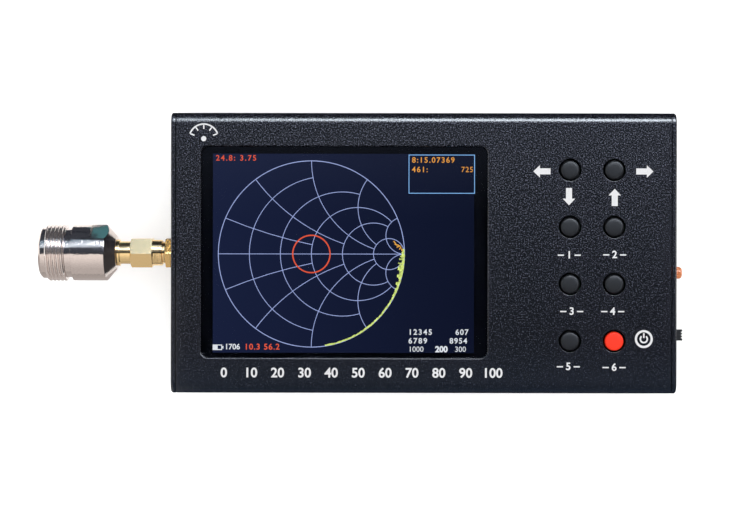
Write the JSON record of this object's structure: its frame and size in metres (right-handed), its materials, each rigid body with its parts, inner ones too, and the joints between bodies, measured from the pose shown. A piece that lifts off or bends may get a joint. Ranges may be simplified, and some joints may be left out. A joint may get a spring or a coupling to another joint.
{
  "type": "antenna analyzer",
  "caption": "Handheld antenna analyzer: folded metal case with a screen, round keys, side switch and lamp, and a screw-on coaxial adapter on its left end.",
  "frame": {"origin": "centre of the flat back face, on which the instrument lies", "axes": "+Z out of the screen, +X to the right-hand end with the lamp and switch, +Y to the top edge of the front panel"},
  "size_m": [0.1797, 0.077, 0.0277],
  "materials": {
    "case_paint": "textured powder coat",
    "key_black": "fine matt",
    "key_red": "fine matt",
    "black_plastic": "satin",
    "plunger_plastic": "satin",
    "screen_glass": "polished",
    "lcd_glass": "polished",
    "light_plate": "satin",
    "steel": "satin",
    "black_steel": "black oxide",
    "board": "solder mask",
    "gold": "gold plated",
    "nickel": "nickel plated",
    "insulator": "waxy",
    "soft_seal": "soft",
    "foam": "soft",
    "lamp": "translucent",
    "pouch": "satin foil",
    "wire": "satin",
    "plug_white": "satin"
  },
  "bodies": {
    "case": {"front_cover": "case_paint", "rear_cover": "case_paint", "rear_screws": "black_steel", "rear_standoffs": "steel", "board_spacers": "steel", "front_standoffs": "steel", "display_gasket": "foam", "screen_glass": "screen_glass", "lcd_cell": "lcd_glass", "backlight_plate": "light_plate", "lcd_tray": "steel", "lcd_ribbon": "wire", "ribbon_socket": "black_plastic", "key_switches": "black_plastic", "front_board": "board", "main_board": "board", "header_base": "black_plastic", "header_socket": "black_plastic", "shield_can": "steel", "chips": "black_plastic", "battery_pad": "foam", "battery_cell": "pouch", "battery_lead": "wire", "battery_plug": "plug_white", "battery_socket": "plug_white", "indicator_lamp": "lamp", "lamp_holder": "black_plastic", "slide_switch_housing": "steel", "usb_shell": "steel", "usb_tongue": "black_plastic", "jack_body": "gold", "jack_insulator": "insulator", "jack_contact": "gold", "lock_washer": "gold", "panel_nut": "gold"},
    "adapter": {"adapter_body": "nickel", "adapter_contact": "gold", "adapter_stem": "gold", "adapter_neck": "gold", "stem_insulator": "insulator", "socket_insulator": "insulator", "sealing_ring": "soft_seal"},
    "coupling_nut": {"coupling_nut": "gold"},
    "slide_lever": {"slide_lever": "black_plastic"},
    "key_left": {"key_left": "key_black", "plunger_left": "plunger_plastic"},
    "key_right": {"key_right": "key_black", "plunger_right": "plunger_plastic"},
    "key_down": {"key_down": "key_black", "plunger_down": "plunger_plastic"},
    "key_up": {"key_up": "key_black", "plunger_up": "plunger_plastic"},
    "key_frequency": {"key_frequency": "key_black", "plunger_frequency": "plunger_plastic"},
    "key_amplitude": {"key_amplitude": "key_black", "plunger_amplitude": "plunger_plastic"},
    "key_marker": {"key_marker": "key_black", "plunger_marker": "plunger_plastic"},
    "key_menu": {"key_menu": "key_red", "plunger_menu": "plunger_plastic"}
  },
  "joints": [
    {"name": "adapter_slide", "type": "slide", "parent": "case", "child": "adapter", "axis": [-1, 0, 0], "range_m": [0, 0.00459]},
    {"name": "nut_turn", "type": "hinge", "parent": "adapter", "child": "coupling_nut", "pos_m": [-0.0772, 0, 0.0135], "axis": [-1, 0, 0], "range_deg": [0, 2340.5]},
    {"name": "slide_lever_travel", "type": "slide", "parent": "case", "child": "slide_lever", "axis": [0, 1, 0], "range_m": [0, 0.002]},
    {"name": "press_left", "type": "slide", "parent": "case", "child": "key_left", "axis": [0, 0, -1], "range_m": [0, 0.0003], "stiffness_N_per_m": 5000},
    {"name": "press_right", "type": "slide", "parent": "case", "child": "key_right", "axis": [0, 0, -1], "range_m": [0, 0.0003], "stiffness_N_per_m": 5000},
    {"name": "press_down", "type": "slide", "parent": "case", "child": "key_down", "axis": [0, 0, -1], "range_m": [0, 0.0003], "stiffness_N_per_m": 5000},
    {"name": "press_up", "type": "slide", "parent": "case", "child": "key_up", "axis": [0, 0, -1], "range_m": [0, 0.0003], "stiffness_N_per_m": 5000},
    {"name": "press_frequency", "type": "slide", "parent": "case", "child": "key_frequency", "axis": [0, 0, -1], "range_m": [0, 0.0003], "stiffness_N_per_m": 5000},
    {"name": "press_amplitude", "type": "slide", "parent": "case", "child": "key_amplitude", "axis": [0, 0, -1], "range_m": [0, 0.0003], "stiffness_N_per_m": 5000},
    {"name": "press_marker", "type": "slide", "parent": "case", "child": "key_marker", "axis": [0, 0, -1], "range_m": [0, 0.0003], "stiffness_N_per_m": 5000},
    {"name": "press_menu", "type": "slide", "parent": "case", "child": "key_menu", "axis": [0, 0, -1], "range_m": [0, 0.0003], "stiffness_N_per_m": 5000}
  ],
  "couplings": [
    {"joint": "nut_turn", "follows": "adapter_slide", "rad_per_m": 8905.3}
  ]
}
